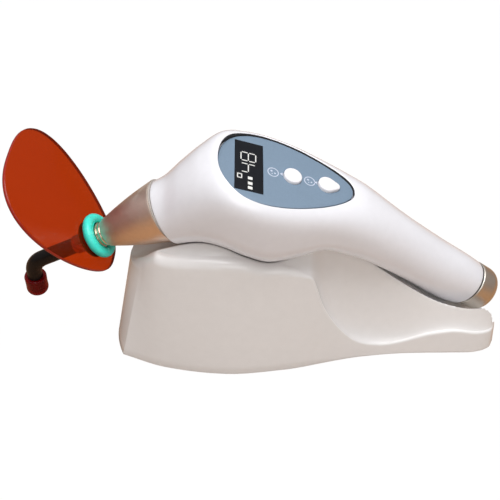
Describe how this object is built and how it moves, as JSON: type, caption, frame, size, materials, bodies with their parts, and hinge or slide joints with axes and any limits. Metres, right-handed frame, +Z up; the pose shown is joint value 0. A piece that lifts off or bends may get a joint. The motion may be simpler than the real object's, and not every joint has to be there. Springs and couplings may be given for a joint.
{
  "type": "dental curing light",
  "caption": "Cordless dental curing light with a bent fibre-optic light guide, orange eye shield and two-button panel, docked on its charging cradle.",
  "frame": {"origin": "middle of the cradle's footprint, on the plane of its rubber feet", "axes": "+X from the light tip to the handpiece's tail, -Y towards the user, +Z up"},
  "size_m": [0.2449, 0.0696, 0.1203],
  "materials": {
    "housing": "glossy white moulding",
    "nose_metal": "satin turned metal",
    "gasket": "matt black rubber",
    "panel": "matt blue-grey plate",
    "display": "gloss black window",
    "display_core": "matt dark grey",
    "button": "glossy white button",
    "steel": "bright machined steel",
    "heat_sink": "clean machined aluminium",
    "led": "yellow phosphor on a white carrier",
    "lens": "clear moulded optic",
    "circuit_board": "green solder mask",
    "component": "matt black",
    "battery_wrap": "green shrink wrap",
    "gold": "gold-plated contact",
    "rod": "black sheathed fibre rod",
    "tip_cap": "translucent dark red silicone",
    "shield": "orange filter sheet",
    "shield_ring": "teal silicone",
    "cradle": "glossy white moulding",
    "plate": "matt grey",
    "feet": "black rubber",
    "seam_seal": "pale silicone",
    "ballast": "plain painted steel"
  },
  "bodies": {
    "cradle": {"base_shell": "cradle", "base_bottom_plate": "plate", "base_feet": "feet", "base_screws": "steel", "ballast_plate": "ballast", "charging_board": "circuit_board", "pin_block": "plate", "pin_springs": "steel", "dc_jack": "component"},
    "charge_pins": {"charge_pins": "gold"},
    "handpiece": {"housing": "housing", "nose_cone": "nose_metal", "nose_seal": "seam_seal", "heat_sink": "heat_sink", "led_emitter": "led", "collimator_lens": "lens", "socket_o_ring": "gasket", "control_panel": "panel", "display_window": "display", "display_module": "display_core", "control_board": "circuit_board", "tact_switches": "component", "board_screws": "steel", "battery": "battery_wrap", "battery_spring": "steel", "charge_pads": "gold", "tail_collar": "heat_sink"},
    "tail_thread": {"tail_seal": "gasket"},
    "tail_cap": {"tail_cap": "nose_metal"},
    "light_guide": {"guide_ferrule": "steel", "light_guide_rod": "rod"},
    "tip_cap": {"tip_cap": "tip_cap"},
    "eye_shield": {"eye_shield": "shield", "shield_ring": "shield_ring"},
    "mode_button": {"mode_button": "button"},
    "power_button": {"power_button": "button"}
  },
  "joints": [
    {"name": "handpiece_lift", "type": "slide", "parent": "cradle", "child": "handpiece", "axis": [0, 0, 1], "range_m": [0, 0.12]},
    {"name": "charge_pins_press", "type": "slide", "parent": "cradle", "child": "charge_pins", "axis": [0, 0, 1], "range_m": [-0.0012, 0], "deforming": ["pin_springs"]},
    {"name": "light_guide_turn", "type": "hinge", "parent": "handpiece", "child": "light_guide", "pos_m": [-0.0973, -0.00116, 0.06581], "axis": [-0.8704, 0.1024, -0.4817], "continuous": true},
    {"name": "tip_cap_pull", "type": "slide", "parent": "light_guide", "child": "tip_cap", "axis": [-0.0087, 0.2079, -0.9781], "range_m": [0, 0.016]},
    {"name": "eye_shield_turn", "type": "hinge", "parent": "handpiece", "child": "eye_shield", "pos_m": [-0.0973, -0.00116, 0.06581], "axis": [-0.8704, 0.1024, -0.4817], "range_deg": [-35, 35]},
    {"name": "mode_button_press", "type": "slide", "parent": "handpiece", "child": "mode_button", "axis": [-0.3338, 0.196, -0.922], "range_m": [0, 0.0008]},
    {"name": "power_button_press", "type": "slide", "parent": "handpiece", "child": "power_button", "axis": [-0.3338, 0.196, -0.922], "range_m": [0, 0.0008]},
    {"name": "tail_cap_travel", "type": "slide", "parent": "handpiece", "child": "tail_thread", "axis": [0.766, 0.1336, -0.6287], "range_m": [0, 0.00452]},
    {"name": "tail_cap_turn", "type": "hinge", "parent": "tail_thread", "child": "tail_cap", "pos_m": [0.0855, 0.00674, 0.02864], "axis": [-0.766, -0.1336, 0.6287], "range_deg": [0, 1080]}
  ],
  "couplings": [
    {"joint": "tail_cap_travel", "follows": "tail_cap_turn", "m_per_rad": 0.00023873}
  ]
}
